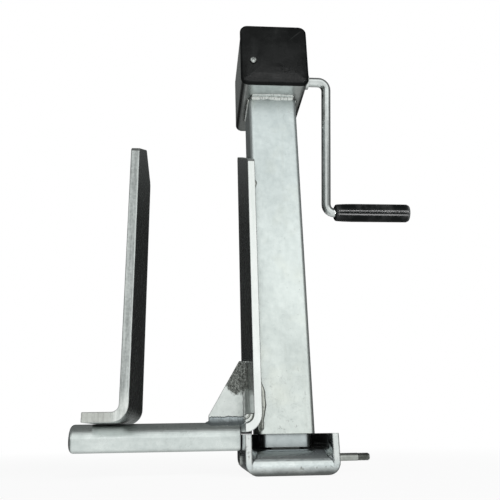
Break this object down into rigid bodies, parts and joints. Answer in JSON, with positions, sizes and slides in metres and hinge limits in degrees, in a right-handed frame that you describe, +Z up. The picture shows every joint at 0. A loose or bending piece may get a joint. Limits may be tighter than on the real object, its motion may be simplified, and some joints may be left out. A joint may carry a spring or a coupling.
{
  "type": "trailer tongue jack",
  "caption": "Square-tube screw jack with side crank, bevel gearbox, telescoping leg, pressed foot and a two-plate side cradle for a frame bar.",
  "frame": {"origin": "a point on the far bracket's bearing face, midway along its depth and 200 mm above the ground line under the retracted foot", "axes": "+Z up along the lifting tube, +X from the far bracket towards the crank side, +Y away from the gearbox end cap"},
  "size_m": [0.4184, 0.145, 0.531],
  "materials": {
    "zinc_tube": "bright zinc plated, faintly mottled",
    "zinc_housing": "bright zinc plated",
    "zinc_plate": "bright zinc plated, mirror-like with rough weld margins",
    "zinc_foot": "bright zinc plated pressing",
    "black_plastic": "satin black moulding",
    "black_grip": "satin black moulding",
    "bright_rod": "polished bright plating",
    "fastener": "zinc plated fastener",
    "machined_steel": "machined, lightly oiled",
    "gear_iron": "sintered and greased",
    "bronze": "bearing bronze",
    "guide_plastic": "nylon guide"
  },
  "bodies": {
    "frame": {"outer_tube": "zinc_tube", "lower_guide": "guide_plastic", "bearing_plate": "machined_steel", "gearbox_housing": "zinc_housing", "rear_plate": "zinc_housing", "end_cap": "black_plastic", "cap_screw": "fastener", "cap_screw_lug": "machined_steel", "right_bush": "bronze", "left_bearing_cup": "bronze", "thrust_washer_upper": "machined_steel", "right_bracket": "zinc_plate", "left_bracket": "zinc_plate", "cradle_bar": "zinc_plate", "gusset": "zinc_plate"},
    "crank": {"drive_shaft": "machined_steel", "crank_rod": "bright_rod", "crank_pin": "fastener", "grip_lock_washer": "fastener", "bevel_pinion": "gear_iron", "pinion_pin": "fastener"},
    "grip": {"crank_grip": "black_grip", "grip_end_plug": "black_grip"},
    "screw": {"bevel_gear": "gear_iron", "gear_pin": "fastener", "lead_screw": "machined_steel", "gear_spacer": "machined_steel", "thrust_washer_lower": "machined_steel", "thrust_ball_cage": "machined_steel"},
    "leg": {"inner_leg": "zinc_tube", "lead_nut": "bronze", "leg_top_guide": "guide_plastic", "leg_lug": "machined_steel"},
    "foot": {"foot": "zinc_foot", "foot_bolt": "fastener", "bolt_ring": "fastener"}
  },
  "joints": [
    {"name": "crank_turn", "type": "hinge", "parent": "frame", "child": "crank", "pos_m": [0.159, 0.0025, 0.2902], "axis": [1, 0, 0], "range_deg": [0, 22500]},
    {"name": "grip_spin", "type": "hinge", "parent": "crank", "child": "grip", "pos_m": [0.159, 0.05277, 0.12049], "axis": [1, 0, 0], "continuous": true},
    {"name": "screw_spin", "type": "hinge", "parent": "frame", "child": "screw", "pos_m": [0.159, 0.0025, 0.2902], "axis": [0, 0, 1], "range_deg": [0, 15001]},
    {"name": "leg_extend", "type": "slide", "parent": "frame", "child": "leg", "axis": [0, 0, -1], "range_m": [0, 0.2501]},
    {"name": "foot_rock", "type": "hinge", "parent": "leg", "child": "foot", "pos_m": [0.159, 0.0025, -0.186], "axis": [1, 0, 0], "range_deg": [-1.5, 1.5]}
  ],
  "couplings": [
    {"joint": "screw_spin", "follows": "crank_turn", "ratio": 0.66667},
    {"joint": "leg_extend", "follows": "crank_turn", "m_per_rad": 0.00063662}
  ]
}
